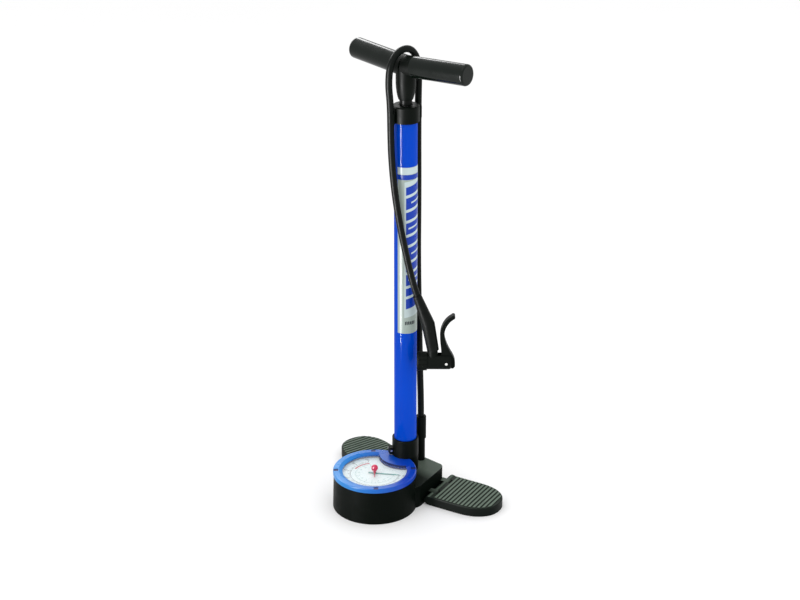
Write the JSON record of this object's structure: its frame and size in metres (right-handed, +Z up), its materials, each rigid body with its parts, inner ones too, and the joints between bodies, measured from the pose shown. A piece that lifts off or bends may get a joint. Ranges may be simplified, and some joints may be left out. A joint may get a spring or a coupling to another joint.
{
  "type": "floor bike pump",
  "caption": "Upright floor pump with a T handle on a sliding rod, a round pressure gauge in its base, two fold-out feet, and a hose looped over the handle to a lever head.",
  "frame": {"origin": "on the floor, on the barrel's axis", "axes": "+Z up along the barrel, +X to the right along the handle, -Y to the front, where the gauge is"},
  "size_m": [0.2934, 0.1918, 0.6621],
  "materials": {
    "blue_paint": "gloss",
    "blue_plastic": "gloss",
    "black_plastic": "satin",
    "foot_plastic": "satin",
    "black_rubber": "satin",
    "grip_black": "satin",
    "lens_clear": "gloss",
    "dial_white": "gloss",
    "needle_teal": "satin",
    "marker_red": "gloss",
    "label_silver": "satin",
    "steel": "satin",
    "brass": "satin",
    "bush_plastic": "satin"
  },
  "bodies": {
    "base": {"base_body": "black_plastic", "hinge_pin_right": "steel", "hinge_pin_left": "steel", "gauge_bezel": "blue_plastic", "gauge_lens": "lens_clear", "gauge_dial": "dial_white", "gauge_movement": "brass", "bourdon_tube": "brass", "gauge_tube": "brass", "barrel": "blue_paint", "barrel_label": "label_silver", "barrel_collar": "black_plastic", "collar_screw": "steel", "barrel_seal": "black_rubber", "top_cap": "black_plastic", "guide_bush": "bush_plastic", "rod_wiper": "black_rubber", "valve_seat": "black_rubber", "valve_spring": "steel", "valve_plug": "brass", "outlet_fitting": "black_plastic", "outlet_ferrule": "black_plastic", "hose": "black_rubber", "strain_relief": "black_rubber", "head_barb": "brass", "head_body": "black_plastic", "head_cap": "black_plastic", "head_gasket": "black_rubber", "lever_pin": "steel"},
    "rod": {"piston_rod": "steel", "piston": "bush_plastic", "piston_ring": "bush_plastic", "piston_cup": "black_rubber", "piston_nut": "steel", "rod_bumper": "black_rubber", "handle_body": "black_plastic", "handle_nut": "steel", "grip_right": "grip_black", "grip_left": "grip_black", "grip_plug_right": "grip_black", "grip_plug_left": "grip_black"},
    "needle": {"gauge_needle": "needle_teal"},
    "marker": {"marker_knob": "marker_red"},
    "right_foot": {"foot_right": "foot_plastic"},
    "left_foot": {"foot_left": "foot_plastic"},
    "check_ball": {"valve_ball": "steel"},
    "lever": {"lever": "black_plastic"},
    "plunger": {"head_plunger": "bush_plastic"}
  },
  "joints": [
    {"name": "handle_slide", "type": "slide", "parent": "base", "child": "rod", "axis": [0, 0, 1], "range_m": [0, 0.44], "deforming": ["hose"]},
    {"name": "needle_turn", "type": "hinge", "parent": "base", "child": "needle", "pos_m": [0, -0.065, 0.049], "axis": [0, 0, 1], "range_deg": [-246, 0], "stiffness_Nm_per_rad": 0.0004},
    {"name": "marker_turn", "type": "hinge", "parent": "base", "child": "marker", "pos_m": [0, -0.065, 0.055], "axis": [0, 0, 1], "continuous": true},
    {"name": "right_foot_fold", "type": "hinge", "parent": "base", "child": "right_foot", "pos_m": [0.05223, 0.0191, 0.007], "axis": [0.2079, -0.9781, 0], "range_deg": [0, 90]},
    {"name": "left_foot_fold", "type": "hinge", "parent": "base", "child": "left_foot", "pos_m": [-0.05223, 0.0191, 0.007], "axis": [0.2079, 0.9781, 0], "range_deg": [0, 90]},
    {"name": "check_valve_lift", "type": "slide", "parent": "base", "child": "check_ball", "axis": [0, 1, 0], "range_m": [0, 0.0015], "stiffness_N_per_m": 60, "springref_m": -0.001, "deforming": ["valve_spring"]},
    {"name": "lever_turn", "type": "hinge", "parent": "base", "child": "lever", "pos_m": [0.05976, 0.01882, 0.216], "axis": [-0.6691, 0.7431, 0], "range_deg": [0, 90]},
    {"name": "plunger_slide", "type": "slide", "parent": "base", "child": "plunger", "axis": [0.7431, 0.6691, 0], "range_m": [0, 0.0015]}
  ],
  "couplings": [
    {"joint": "plunger_slide", "follows": "lever_turn", "m_per_rad": 0.00095493}
  ]
}
